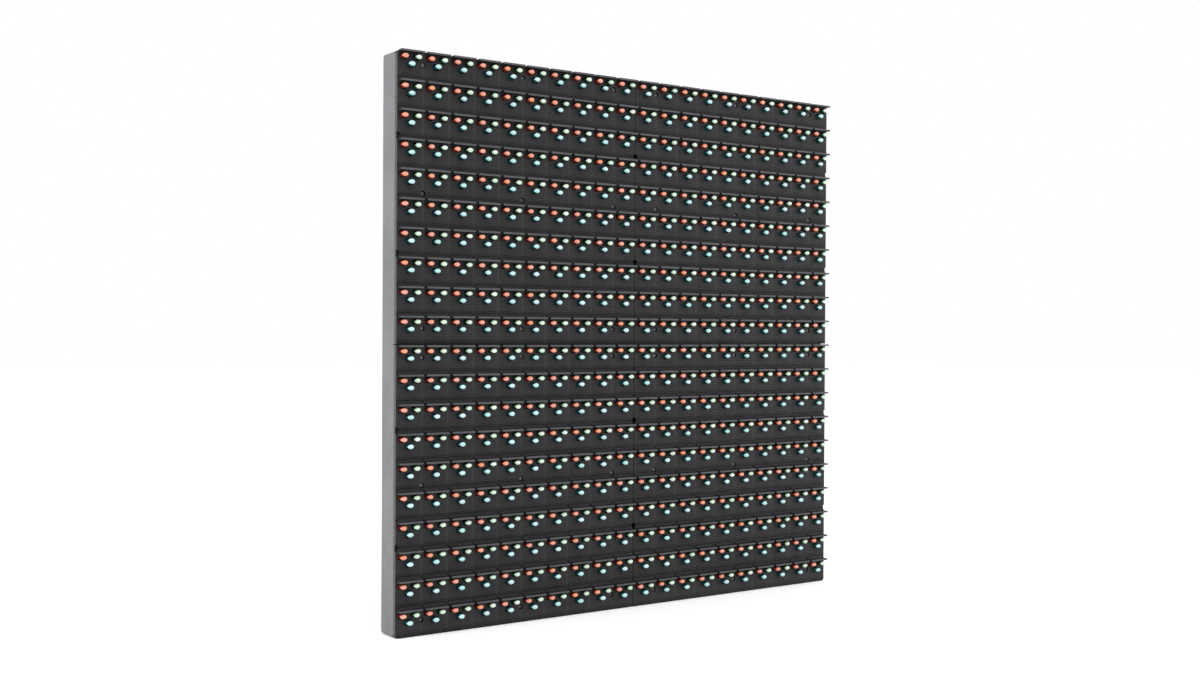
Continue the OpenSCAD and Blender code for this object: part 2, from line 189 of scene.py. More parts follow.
# a grid of spots on the board's back, or at the given depth
def gridSpots(xs, zs, y=boardBack):
    x, z = np.meshgrid(xs, zs, indexing="ij")
    return pointList(x, y, z)


# material helpers

def newMaterial(name, **settings):
    material = bpy.data.materials.new(name)
    material.use_nodes = True
    shader = material.node_tree.nodes["Principled BSDF"]
    for socket, value in settings.items():
        shader.inputs[socket.replace("_", " ")].default_value = value
    return material, material.node_tree, shader


def addNode(tree, kind, inputs=None, **settings):
    node = tree.nodes.new(kind)
    for key, value in settings.items():
        setattr(node, key, value)
    for key, value in (inputs or {}).items():
        if isinstance(value, bpy.types.NodeSocket):
            tree.links.new(value, node.inputs[key])
        else:
            node.inputs[key].default_value = value
    return node


def calc(tree, operation, a, b=0.0):
    return addNode(tree, "ShaderNodeMath", {0: a, 1: b}, operation=operation).outputs[0]


def add(tree, a, b):
    return calc(tree, "ADD", a, b)


def subtract(tree, a, b):
    return calc(tree, "SUBTRACT", a, b)


def multiply(tree, a, b):
    return calc(tree, "MULTIPLY", a, b)


def ramp(tree, value, low, high, to0=0.0, to1=1.0):
    inputs = {0: value, 1: low, 2: high, 3: to0, 4: to1}
    return addNode(tree, "ShaderNodeMapRange", inputs, interpolation_type="SMOOTHSTEP").outputs[0]


def blendColours(tree, share, a, b, kind="MIX"):
    node = addNode(tree, "ShaderNodeMix", data_type="RGBA", blend_type=kind)
    for key, value in ((0, share), (6, a), (7, b)):
        if isinstance(value, bpy.types.NodeSocket):
            tree.links.new(value, node.inputs[key])
        else:
            node.inputs[key].default_value = value if key == 0 else (*value, 1)
    return node.outputs[2]


# a colour multiplied by one brightness in all three channels
def shadeColour(tree, colour, brightness):
    grey = addNode(tree, "ShaderNodeCombineColor", {0: brightness, 1: brightness, 2: brightness}).outputs[0]
    return blendColours(tree, 1.0, colour, grey, "MULTIPLY")


def objectPoint(tree):
    point = addNode(tree, "ShaderNodeTexCoord").outputs["Object"]
    parts = addNode(tree, "ShaderNodeSeparateXYZ", {0: point})
    return point, parts.outputs[0], parts.outputs[1], parts.outputs[2]


def noise(tree, point, scale, detail=3.0):
    inputs = {"Vector": point, "Scale": scale, "Detail": detail, "Roughness": 0.5}
    return addNode(tree, "ShaderNodeTexNoise", inputs).outputs["Fac"]


# the larger of |x| and |z - middle|, which is the module's half width all along its outer edges
def squareReach(tree, x, z):
    height = calc(tree, "ABSOLUTE", subtract(tree, z, panel["midZ"]))
    return calc(tree, "MAXIMUM", calc(tree, "ABSOLUTE", x), height)


def setColour(tree, shader, colour):
    tree.links.new(colour, shader.inputs["Base Color"])


def setRoughness(tree, shader, value, low, high):
    tree.links.new(ramp(tree, value, *low, *high), shader.inputs["Roughness"])


def addBump(tree, shader, height, distance):
    bump = addNode(tree, "ShaderNodeBump", {"Height": height, "Distance": distance, "Strength": 1.0})
    tree.links.new(bump.outputs[0], shader.inputs["Normal"])


def dress(names, material):
    for name in names:
        slots = nodes[name].data.materials
        slots.clear()
        slots.append(material)


# moulded or fired material: two tones mixed by a noise, and a fine grain
def makeSpeckled(name, dark, pale, roughness, specular, patches, grainScale, grain):
    material, tree, shader = newMaterial(name, Roughness=roughness, Specular_IOR_Level=specular)
    point = objectPoint(tree)[0]
    setColour(tree, shader, blendColours(tree, noise(tree, point, patches), dark, pale))
    addBump(tree, shader, noise(tree, point, grainScale), grain)
    return material


metal = {"cloud": (0.3, 0.7), "dulling": (0.25, 0.75), "shinier": 0.08, "duller": 0.12, "finer": 12, "grain": 0.00002}


# metal: cloudy between two tones, duller where it is paler, with a grain some times finer than its clouds
def makeSteel(name, dark, pale, roughness, clouds=160.0):
    material, tree, shader = newMaterial(name, Metallic=1.0, Roughness=roughness)
    point = objectPoint(tree)[0]
    cloud = noise(tree, point, clouds, 4.0)
    setColour(tree, shader, blendColours(tree, ramp(tree, cloud, *metal["cloud"]), dark, pale))
    ends = (roughness - metal["shinier"], roughness + metal["duller"])
    setRoughness(tree, shader, cloud, metal["dulling"], ends)
    addBump(tree, shader, noise(tree, point, clouds * metal["finer"], 2.0), metal["grain"])
    return material


# masks: black plastic ribbed across its face, the ribs painted darker and paler as painted shade and light, a painted
# sheen along each visor's front edge, paler thin lines between the cells, and painted shade in a strip low in each
# cell

maskFinish = {"colour": (0.0156, 0.0147, 0.0166), "faceBlur": (0.0003, 0.0001),
              "ribsPerRow": 16, "ribDrift": 0.03, "ribRows": (0.3, 0.62), "ribShade": 0.4, "ribHeight": 0.00012,
              "joinColour": (0.034, 0.034, 0.036), "joinWidth": 0.0005, "joinShare": 0.5,
              "plainShade": 0.7, "cloudShade": 0.6, "visorShadeRows": (0.74, 0.93), "visorShadeDepth": 0.72,
              "visorSheenColour": (0.071, 0.073, 0.076), "visorFront": 0.0043, "visorSheenFades": (0.00035, 0.00005),
              "skirtSheenColour": (0.072, 0.0715, 0.074), "skirtFades": (0.00006, 0.00001), "skirtStart": 0.85,
              "skirtDepth": 0.0008, "recessShadeColour": (0.002, 0.002, 0.002), "recessShadeFades": (0.0004, 0.0009),
              "recessShadeShare": 0.9, "rimColour": (0.165, 0.165, 0.1685), "rimFrom": 0.0026, "rimBlur": 0.0002,
              "sheenPatchScale": 90.0, "sheenPatches": (0.3, 0.7), "sheenPatchLeast": 0.7, "driftScale": 34.0, "cloudScale": 60.0,
              "dustColour": (0.09, 0.09, 0.095), "dustScale": 900.0, "dust": (0.74, 0.8), "dustShare": 0.5,
              "roughScale": 220.0, "rough": (0.3, 0.7), "roughness": (0.44, 0.58),
              "ribFaintest": 0.15, "ribBump": 0.5, "grainScale": 2600.0, "grain": 0.12}


# row runs 0 to 1 down each cell, and column is the distance from the nearest cell edge
def makeMaskPlastic(finish):
    material, tree, shader = newMaterial("maskPlastic", Roughness=0.5, Specular_IOR_Level=0.24)
    point, x, y, z = objectPoint(tree)
    down = subtract(tree, panel["midZ"] + gridHalf, z)
    row = calc(tree, "FRACT", calc(tree, "DIVIDE", down, panel["pitch"]))
    column = calc(tree, "PINGPONG", add(tree, x, gridHalf), panel["pitch"] / 2)
    onFace = ramp(tree, y, faceY - finish["faceBlur"][0], faceY - finish["faceBlur"][1])

    # rib = sine of the row, drifting a little, and fainter high in the cell
    drift = multiply(tree, noise(tree, point, finish["driftScale"], 2.0), finish["ribDrift"])
    wave = calc(tree, "SINE", multiply(tree, add(tree, row, drift), finish["ribsPerRow"] * 2 * math.pi))
    strength = ramp(tree, row, *finish["ribRows"], finish["ribFaintest"], 1.0)
    rib = multiply(tree, multiply(tree, wave, strength), onFace)
    join = ramp(tree, column, finish["joinWidth"] * 0.5, finish["joinWidth"] * 1.5, 1, 0)
    join = multiply(tree, multiply(tree, join, onFace), finish["joinShare"])
    # strip: painted shade low in each cell, where the face meets the visor below
    strip = multiply(tree, ramp(tree, row, *finish["visorShadeRows"]), onFace)
    cloud = noise(tree, point, finish["cloudScale"], 4.0)
    # the rib's sine also paints the grooves darker and the crests paler: painted shade and light beside the bump
    shade = add(tree, multiply(tree, rib, finish["ribShade"]), multiply(tree, cloud, finish["cloudShade"]))
    shade = subtract(tree, add(tree, shade, finish["plainShade"]), multiply(tree, strip, finish["visorShadeDepth"]))
    colour = blendColours(tree, join, finish["colour"], finish["joinColour"])
    colour = shadeColour(tree, colour, shade)

    # the visors' front edges painted paler, a painted sheen of light on their noses, made patchy by a noise
    tip = faceY - finish["visorFront"]
    front = ramp(tree, y, tip + finish["visorSheenFades"][0], tip + finish["visorSheenFades"][1])
    sheenPatches = ramp(tree, noise(tree, point, finish["sheenPatchScale"]), *finish["sheenPatches"], finish["sheenPatchLeast"], 1.0)
    colour = blendColours(tree, multiply(tree, front, sheenPatches), colour, finish["visorSheenColour"])

    # the skirt on the outer edges painted paler as painted light from the side, the walls inside painted near black
    # as painted shade, and the skirt's rear edge in the housing's grey
    side = ramp(tree, squareReach(tree, x, z), *(panel["half"] - fade for fade in finish["skirtFades"]))
    back = ramp(tree, y, faceY, faceY + finish["skirtDepth"], finish["skirtStart"], 1.0)
    colour = blendColours(tree, multiply(tree, side, back), colour, finish["skirtSheenColour"])
    # inside: painted shade, near black on walls set back from the face, in the notches, screw sinks and lamp holes
    inside = ramp(tree, y, *(faceY + fade for fade in finish["recessShadeFades"]), 0, finish["recessShadeShare"])
    inside = calc(tree, "MAXIMUM", subtract(tree, inside, side), 0.0)
    colour = blendColours(tree, inside, colour, finish["recessShadeColour"])
    rimY = faceY + finish["rimFrom"]
    rim = ramp(tree, y, rimY - finish["rimBlur"], rimY + finish["rimBlur"])
    colour = blendColours(tree, multiply(tree, side, rim), colour, finish["rimColour"])

    dust = noise(tree, point, finish["dustScale"], 2.0)
    specks = ramp(tree, dust, *finish["dust"], 0, finish["dustShare"])
    setColour(tree, shader, blendColours(tree, specks, colour, finish["dustColour"]))
    setRoughness(tree, shader, noise(tree, point, finish["roughScale"]), finish["rough"], finish["roughness"])
    grain = multiply(tree, noise(tree, point, finish["grainScale"], 2.0), finish["grain"])
    addBump(tree, shader, add(tree, multiply(tree, rib, finish["ribBump"]), grain), finish["ribHeight"])
    return material


maskPlastic = makeMaskPlastic(maskFinish)
dress(["mask_top_left", "mask_top_right", "mask_bottom_left", "mask_bottom_right"], maskPlastic)
print("masks dressed")


# lamps: oval epoxy lenses, each a little different in tone

lamps = {"width": 0.004, "height": 0.0029, "side": 0.004, "top": 0.0035, "drop": 0.004, "segments": 12,
         "base": 0.0021, "dome": 0.0021, "domeSteps": (0, 28, 54, 76), "bright": (0.81, 0.98), "hueBias": 1.5,
         "taper": 0.3, "point": 0.06, "highlightFall": 2.4, "highlightEnd": 0.9, "coreFrom": 0.78, "coreTo": 0.88,
         "haze": 0.08, "hazeScale": 700.0, "grainScale": 1500.0, "grain": 0.00001,
         "red": {"core": (0.86, 0.34, 0.25), "warm": (0.87, 0.3, 0.16), "flankShade": (0.14, 0.02, 0.012)},
         "green": {"core": (0.6, 0.8, 0.62), "warm": (0.74, 0.84, 0.7), "flankShade": (0.016, 0.056, 0.03)},
         "blue": {"core": (0.44, 0.76, 0.74), "warm": (0.57, 0.75, 0.83), "flankShade": (0.009, 0.056, 0.064)}}


# x = w/2 f cos a, z = h/2 f sin a, where f falls as a quarter ellipse over the dome
# climb is the share of the way up the lens, plus a peak on its middle line that is a painted highlight, and less a
# taper above and below it
def lampShape(size):
    reach = boardFront - lampTip
    steps = np.radians(size["domeSteps"])
    height = np.concatenate([[size["base"]], reach - size["dome"] + size["dome"] * np.sin(steps)])
    factor = np.concatenate([[1], np.cos(steps)])
    angle = circle(size["segments"])
    x = factor[:, None] * size["width"] / 2 * np.cos(angle)
    z = factor[:, None] * size["height"] / 2 * np.sin(angle)
    ends = [[0, boardFront - size["base"], 0], [0, lampTip, 0]]
    points = np.concatenate([pointList(x, boardFront - height[:, None], z), ends])
    last = (len(height) - 1) * len(angle)
    tris = np.concatenate([fanTris(0, len(angle), len(points) - 2, True),
                           fanTris(last, len(angle), len(points) - 1)])
    climb = np.concatenate([np.repeat(height / reach, len(angle)), [0, 1]])
    level = np.concatenate([np.abs(np.outer(factor, np.sin(angle))).ravel(), [0, 0]])
    # peak: a painted highlight along the middle line of the flank
    midlineHighlight = size["point"] * np.maximum(0, 1 - size["highlightFall"] * level) * (climb < size["highlightEnd"])
    climb += midlineHighlight - size["taper"] * level ** 2 * (1 - climb)
    return points, ringQuads(len(height), len(angle)), tris, climb


# the lens's pale tint shows over its front and fades to a dark tint down its flank, which is painted shade
def makeEpoxy(name, size, tint):
    material, tree, shader = newMaterial(name, Roughness=0.2, Specular_IOR_Level=0.5)
    tone = addNode(tree, "ShaderNodeVertexColor", layer_name="tone").outputs[0]
    bright, hue, climb = addNode(tree, "ShaderNodeSeparateColor", {0: tone}).outputs[:3]
    point = objectPoint(tree)[0]
    cloud = subtract(tree, noise(tree, point, size["hazeScale"]), 0.5)
    haze = add(tree, climb, multiply(tree, cloud, size["haze"]))
    core = blendColours(tree, hue, tint["core"], tint["warm"])
    # the dark flank colour is painted shade down each lens's side
    colour = blendColours(tree, ramp(tree, haze, size["coreFrom"], size["coreTo"]), tint["flankShade"], core)
    setColour(tree, shader, shadeColour(tree, colour, bright))
    addBump(tree, shader, noise(tree, point, size["grainScale"]), size["grain"])
    return material


# the columns' x and the rows' z of one colour of lamp
def lampLines(dx, dz):
    cells = np.arange(panel["cells"])
    x = (cells - (panel["cells"] - 1) / 2) * panel["pitch"] + dx
    return x, panel["midZ"] + (panel["cells"] / 2 - cells) * panel["pitch"] - lamps["top"] - dz


def makeLamps(size, colourName, dx, dz):
    x, z = np.meshgrid(*lampLines(dx, dz))
    spots = pointList(x, 0, z)
    points, quads, tris, climb = lampShape(size)
    allPoints, allQuads, allTris = repeatShape(points, quads, tris, spots)
    bright = np.repeat(rng.uniform(*size["bright"], len(spots)), len(points))
    hue = np.repeat(rng.uniform(0, 1, len(spots)) ** size["hueBias"], len(points))
    tone = np.stack([bright, hue, np.tile(climb, len(spots)), np.ones(len(bright))], -1)
    epoxy = makeEpoxy(colourName + "Epoxy", size, size[colourName])
    makePiece(colourName + "Lenses", allPoints, allQuads, epoxy,
              replaces=(colourName + "_lamps",), tris=allTris, smoothUnder=60, tone=tone)


lampPlaces = {"red": (-lamps["side"], 0), "green": (lamps["side"], 0), "blue": (0, lamps["drop"])}
for colourName, (dx, dz) in lampPlaces.items():
    makeLamps(lamps, colourName, dx, dz)
print("lamps made")


# gel and gasket: pale patches are the colour times the lift

rubber = {"lift": 1.7, "cloud": (0.35, 0.65), "specular": 0.35, "finer": 6, "grain": 0.00006}


def makeRubber(name, colour, roughness, scale):
    material, tree, shader = newMaterial(name, Roughness=roughness, Specular_IOR_Level=rubber["specular"])
    point = objectPoint(tree)[0]
    cloud = ramp(tree, noise(tree, point, scale), *rubber["cloud"])
    setColour(tree, shader, blendColours(tree, cloud, colour, tuple(c * rubber["lift"] for c in colour)))
    addBump(tree, shader, noise(tree, point, scale * rubber["finer"], 2.0), rubber["grain"])
    return material


gel = {"steps": 121, "rise": 0.0003, "thin": 0.2, "edge": 0.002, "fade": 0.004}


# a closed sheet of gel: its front sags between the lamps by rise * sin^2 across each cell, and its back is flat
def makeGel(size):
    low, high = (np.array(corner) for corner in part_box("sealing_gel"))
    n = size["steps"]
    x, z = np.linspace(low[0], high[0], n), np.linspace(low[2], high[2], n)
    gridX, gridZ = np.meshgrid(x, z, indexing="ij")
    across = np.sin(np.pi * (gridX + gridHalf) / panel["pitch"]) ** 2
    sag = across * np.sin(np.pi * (gridZ - panel["midZ"]) / panel["pitch"]) ** 2
    foot = np.minimum(1, (gridZ - low[2] + size["edge"]) / size["fade"])
    front = low[1] + size["rise"] * (size["thin"] + (1 - size["thin"]) * (1 - sag)) * foot
    points = np.concatenate([pointList(gridX, front, gridZ), pointList(gridX, high[1], gridZ)])
    index = np.arange(n * n).reshape(n, n)
    a = index[:-1, :-1].ravel()
    face = np.stack([a, a + n, a + n + 1, a + 1], -1)
    faces = [face, face[:, ::-1] + n * n]
    for line, way in ((index[0], 1), (index[-1], -1), (index[:, 0], -1), (index[:, -1], 1)):
        start, end = (line[:-1], line[1:])[::way]
        faces.append(np.stack([start, end, end + n * n, start + n * n], -1))
    material = makeRubber("pottingGel", (0.005, 0.005, 0.005), roughness=0.35, scale=150.0)
    makePiece("gelSheet", points, np.concatenate(faces), material, replaces=("sealing_gel",))


makeGel(gel)
dress(["rear_gasket"], makeRubber("foamRubber", (0.014, 0.014, 0.014), roughness=0.85, scale=400.0))


# mask screws: blackened pan heads with a cross recess, in rows below the top of each mask

screws = {"columns": (-9, -5, -1, 1, 5, 9), "drops": (0.00675, 0.077, 0.15075), "segments": 32,
          "radius": 0.0013, "shares": (0.1, 0.2, 0.32, 0.44, 0.56, 0.66, 0.76, 0.88, 1.0), "rise": 0.00028,
          "roundFrom": 0.76, "roundOff": 0.0003, "headDepth": 0.0009, "shank": 0.00095,
          "crossWidth": 0.00034, "crossSlack": 0.00005, "crossReach": 0.00085, "crossDepth": 0.00035,
          "crossTaper": 0.35}


# head: y = rise (r/R)^2, rounded off over its outer quarter, plus the recess where the smaller of |x| and |z|
# is under the cross's half width
def screwShape(size):
    n, radius = size["segments"], size["radius"]
    angle = circle(n, 0.5)
    r, a = np.meshgrid(np.array(size["shares"]) * radius, angle, indexing="ij")
    x, z = r * np.cos(a), r * np.sin(a)
    narrow = np.minimum(abs(x), abs(z)) < size["crossWidth"] / 2 + size["crossSlack"]
    recess = narrow & (r < size["crossReach"])
    recess = recess * size["crossDepth"] * (1 - r / size["crossReach"] * size["crossTaper"])
    turn = np.clip(r / radius - size["roundFrom"], 0, 1) / (1 - size["roundFrom"])
    y = screwLow[1] + size["rise"] * (r / radius) ** 2 + size["roundOff"] * turn ** 2 + recess
    headBack = screwLow[1] + size["headDepth"]
    rims = [(radius, headBack), (size["shank"], headBack), (size["shank"], screwHigh[1])]
    rimPoints = [pointList(rim * np.cos(angle), back, rim * np.sin(angle)) for rim, back in rims]
    ends = [[0, screwLow[1] + size["crossDepth"], 0], [0, screwHigh[1], 0]]
    points = np.concatenate([pointList(x, y, z), *rimPoints, ends])
    rings = len(size["shares"]) + len(rims)
    tris = np.concatenate([fanTris(0, n, len(points) - 2, True),
                           fanTris((rings - 1) * n, n, len(points) - 1)])
    return points, ringQuads(rings, n)[:, ::-1], tris[:, ::-1]


maskTops = [panel["midZ"] + panel["half"], panel["midZ"] - panel["seam"]]
screwZs = [top - drop for top in maskTops for drop in screws["drops"]]
screwSpots = np.array([[c * panel["pitch"], 0, z] for c in screws["columns"] for z in screwZs])
darkSteel = makeSteel("blackenedSteel", dark=(0.07, 0.07, 0.075), pale=(0.16, 0.16, 0.165), roughness=0.34)
screwPoints, screwQuads, screwTris = repeatShape(*screwShape(screws), screwSpots)
makePiece("screwHeads", screwPoints, screwQuads, darkSteel, replaces=("mask_screws",),
          tris=screwTris, smoothUnder=30)
print("screws made")


# key stops: the skirt runs on behind the half-round notches at the outer edges

keyStops = {"radius": 0.0019, "drops": (0.0463, 0.1103), "front": 0.0009, "gap": 0.0001, "segments": 10}


# half-round plug: x = half - r cos a, z = key + r sin a, from inside the mask's plate to the back of its skirt
def makeKeyStops(size):
    angle = np.linspace(-np.pi / 2, np.pi / 2, size["segments"] + 1)
    rim = pointList(panel["half"] - size["radius"] * np.cos(angle), 0, size["radius"] * np.sin(angle))
    points = np.concatenate([rim + [0, faceY + size["front"], 0], rim + [0, boardFront - size["gap"], 0]])
    keys = np.array([[0, 0, top - drop] for top in maskTops for drop in size["drops"]])
    right, quads, tris = repeatShape(points, *slabFaces(len(angle)), keys)
    bothQuads = np.concatenate([quads, quads[:, ::-1] + len(right)])
    bothTris = np.concatenate([tris, tris[:, ::-1] + len(right)])
    makePiece("keyStops", np.concatenate([right, right * [-1, 1, 1]]), bothQuads, maskPlastic,
              tris=bothTris)


makeKeyStops(keyStops)


# housing: moulded grey plastic with a fine spark-eroded grain, painted a little darker towards its foot as painted
# shade

housingFinish = {"colour": (0.144, 0.142, 0.15), "pale": (0.187, 0.184, 0.194), "foot": (0.117, 0.1155, 0.121),
                 "cloudScale": 16.0, "cloud": (0.32, 0.68), "footShadeTop": 0.11, "footShadeShare": 0.75,
                 "roughScale": 150.0, "rough": (0.3, 0.7), "roughness": (0.48, 0.62),
                 "grainScale": 3200.0, "grain": 0.00004}


def makeHousingPlastic(finish):
    material, tree, shader = newMaterial("housingPlastic", Roughness=0.55, Specular_IOR_Level=0.4)
    point, _, _, z = objectPoint(tree)
    cloud = ramp(tree, noise(tree, point, finish["cloudScale"], 4.0), *finish["cloud"])
    colour = blendColours(tree, cloud, finish["colour"], finish["pale"])
    # foot: darker towards the bottom, painted shade
    foot = ramp(tree, z, 0.0, finish["footShadeTop"], finish["footShadeShare"], 0)
    setColour(tree, shader, blendColours(tree, foot, colour, finish["foot"]))
    setRoughness(tree, shader, noise(tree, point, finish["roughScale"]), finish["rough"], finish["roughness"])
    addBump(tree, shader, noise(tree, point, finish["grainScale"], 2.0), finish["grain"])
    return material


dress(["housing"], makeHousingPlastic(housingFinish))
print("housing dressed")


# circuit board: green lacquer over copper tracks, with vias

boardFinish = {"lacquer": (0.008, 0.075, 0.03), "stain": (0.004, 0.05, 0.02), "stainShare": 0.25, "stainScale": 30.0,
               "edge": (0.3, 0.26, 0.14), "edgeFades": (0.1573, 0.15742),
               "track": (0.018, 0.15, 0.06), "trackPitch": 0.00127, "trackFades": (0.00018, 0.00026),
               "patchScale": 34.0, "upright": 0.42, "level": 0.6, "depth": 0.00003,
               "via": (0.03, 0.2, 0.09), "viaPitch": 0.00508, "viaShift": (0.0011, 0.0007),
               "viaFades": (0.00034, 0.00042), "hole": (0.004, 0.01, 0.006), "holeFades": (0.00014, 0.0002)}


# tracks = lines at the track pitch, upright, level or none by the patch that they are in
# apart = the distance from the nearest via's middle
def makeLaminate(finish):
    material, tree, shader = newMaterial("greenLaminate", Roughness=0.32, Specular_IOR_Level=0.5,
                                         Coat_Weight=0.3, Coat_Roughness=0.2)
    point, x, _, z = objectPoint(tree)
    patchInputs = {"Vector": point, "Scale": finish["patchScale"]}
    patch = addNode(tree, "ShaderNodeTexVoronoi", patchInputs, distance="CHEBYCHEV").outputs["Color"]
    patch = addNode(tree, "ShaderNodeSeparateColor", {0: patch}).outputs[0]
    across = ramp(tree, calc(tree, "PINGPONG", x, finish["trackPitch"] / 2), *finish["trackFades"], 1, 0)
    along = ramp(tree, calc(tree, "PINGPONG", z, finish["trackPitch"] / 2), *finish["trackFades"], 1, 0)
    upright = multiply(tree, across, calc(tree, "LESS_THAN", patch, finish["upright"]))
    level = multiply(tree, along, calc(tree, "GREATER_THAN", patch, finish["level"]))
    tracks = calc(tree, "MAXIMUM", upright, level)
    gridX = calc(tree, "PINGPONG", add(tree, x, finish["viaShift"][0]), finish["viaPitch"] / 2)
    gridZ = calc(tree, "PINGPONG", add(tree, z, finish["viaShift"][1]), finish["viaPitch"] / 2)
    apart = calc(tree, "SQRT", add(tree, multiply(tree, gridX, gridX), multiply(tree, gridZ, gridZ)))
    hole = ramp(tree, apart, *finish["holeFades"], 1, 0)
    colour = blendColours(tree, tracks, finish["lacquer"], finish["track"])
    colour = blendColours(tree, ramp(tree, apart, *finish["viaFades"], 1, 0), colour, finish["via"])
    colour = blendColours(tree, hole, colour, finish["hole"])
    stain = multiply(tree, noise(tree, point, finish["stainScale"]), finish["stainShare"])
    colour = blendColours(tree, stain, colour, finish["stain"])
    edge = ramp(tree, squareReach(tree, x, z), *finish["edgeFades"])
    setColour(tree, shader, blendColours(tree, edge, colour, finish["edge"]))
    addBump(tree, shader, add(tree, tracks, multiply(tree, hole, -1.0)), finish["depth"])
    return material


dress(["circuit_board"], makeLaminate(boardFinish))

# places on the board's back: the ribs, the middles of the cells between them, and what stands in each cell
layout = {"midRib": 0.16075, "ribXs": (-0.08, 0, 0.08), "cellColumns": (-7.5, -2.5, 2.5, 7.5),
          "insertX": 0.08, "insertZ": 0.12, "pinX": 0.12, "latchZs": (0.2732, 0.0492),
          "driver": 0.013, "buffers": (0.003, -0.021), "decoder": -0.008, "switches": -0.024,
          "switchStep": 0.01, "resistorX": 0.0095, "resistorStep": 0.0015, "ceramic": 0.0195,
          "canX": 0.016, "can": -0.014, "headerX": 0.142, "powerX": 0.04, "webColumns": (-9.5, 9.5, -0.5, 0.5)}
ribHigh, ribLow = (top - screws["drops"][1] for top in maskTops)
ribMid = layout["midRib"]
cellX = np.array(layout["cellColumns"]) * panel["pitch"]
cellZ = np.array([ribLow / 2, (ribLow + ribMid) / 2, (ribMid + ribHigh) / 2, (ribHigh + 2 * panel["midZ"]) / 2])
insertXs = (-layout["insertX"], layout["insertX"])
insertZs = (panel["midZ"] - layout["insertZ"], panel["midZ"] + layout["insertZ"])

bufferZs = [cellZ[2] + rise for rise in layout["buffers"]]
switchXs = cellX[3] + np.array([-layout["switchStep"], 0, layout["switchStep"]])
chips = {"driver": {"node": "driver_chips", "spots": gridSpots(cellX, cellZ + layout["driver"]),
                    "size": (0.0086, 0.0015, 0.0039), "leads": 12, "pitch": 0.000635},
         "buffer": {"node": "buffer_chips", "spots": gridSpots(cellX[1:3], bufferZs),
                    "size": (0.0128, 0.0023, 0.0075), "leads": 10, "pitch": 0.00127},
         "decoder": {"node": "decoder_chip", "spots": gridSpots(cellX[1:2], [cellZ[1] + layout["decoder"]]),
                     "size": (0.0099, 0.0015, 0.0039), "leads": 8, "pitch": 0.00127},
         "switch": {"node": "scan_switches", "spots": gridSpots(switchXs, cellZ + layout["switches"]),
                    "size": (0.0049, 0.0015, 0.0039), "leads": 4, "pitch": 0.00127}}
leads = {"reaches": (-0.0001, 0.0003, 0.00055, 0.00105), "exit": 0.52, "feet": (0.00012, 0.00009),
         "thick": 0.00009, "share": 0.4}


# a bent lead: a flat strip carried along its gull-wing path, out from the body, down, and out along the board
def leadShape(size, side, height, depth, width):
    reach = depth / 2 + np.array(size["reaches"])
    rise = np.array([height * size["exit"], height * size["exit"], *size["feet"]])
    thick = size["thick"]
    section = np.array([[-width / 2, -thick], [width / 2, -thick], [width / 2, thick], [-width / 2, thick]])
    points = pointList(section[None, :, 0], rise[:, None] + section[None, :, 1], side * reach[:, None])
    quads = np.concatenate([ringQuads(4, 4), [[3, 2, 1, 0], [12, 13, 14, 15]]])
    return points, quads[:, ::-1] if side > 0 else quads, noTris


chipBody = {"foot": 0.00025, "waist": 0.5, "shoulder": 0.0002, "chamfer": 0.00006, "top": 0.0003}


# bodies: widest at the waist, tapered towards the board and towards the top, with a small chamfer
def makeChips(size):
    leadPoints, leadQuads, leadBase = [], [], 0
    for name, chip in size.items():
        width, height, depth = chip["size"]
        rings = [(chipBody["foot"], 0.0), (0, height * chipBody["waist"]),
                 (chipBody["shoulder"], height - chipBody["chamfer"]), (chipBody["top"], height)]
        points, quads, tris = repeatShape(*blockShape(width, depth, rings), chip["spots"])
        makePiece(name + "Bodies", points, quads, chipPlastic, replaces=(chip["node"],),
                  tris=tris, smoothUnder=0)
        offsets = (np.arange(chip["leads"]) - (chip["leads"] - 1) / 2) * chip["pitch"]
        spots = (chip["spots"][:, None] + pointList(offsets, 0, 0)[None]).reshape(-1, 3)
        for side in (-1, 1):
            lead = leadShape(leads, side, height, depth, chip["pitch"] * leads["share"])
            points, quads, _ = repeatShape(*lead, spots)
            leadPoints.append(points)
            leadQuads.append(quads + leadBase)
            leadBase += len(points)
    makePiece("chipLeads", np.concatenate(leadPoints), np.concatenate(leadQuads), tinned,
              smoothUnder=0)


chipPlastic = makeSpeckled("chipPlastic", dark=(0.012, 0.012, 0.013), pale=(0.026, 0.026, 0.027), roughness=0.5,
                           specular=0.4, patches=300.0, grainScale=5000.0, grain=0.00002)
tinned = makeSteel("tinnedSteel", dark=(0.5, 0.5, 0.5), pale=(0.78, 0.78, 0.77), roughness=0.3)
makeChips(chips)
print("chips made")


# solder joints of the lamps: small cones round a cut lead, two to a lamp

solder = {"spread": 0.00127, "segments": 8,
          "profile": [(0.00085, 0.0), (0.00062, 0.00018), (0.00038, 0.0005), (0.0003, 0.00085), (0.00018, 0.0009)]}

# room kept free round each thing on the board: a half width, a radius, or a half width and a half height
clearance = {"rib": 0.0023, "screwBoss": 0.0047, "insertBoss": 0.006, "pinBoss": 0.0058, "latch": 0.0086,
             "chip": (0.001, 0.0018), "header": (0.0055, 0.015), "power": (0.009, 0.0055), "can": (0.0053, 0.0053),
             "resistor": (0.0026, 0.0018), "ceramic": (0.002, 0.0016), "web": (0.003, 0.0008), "board": 0.1562}


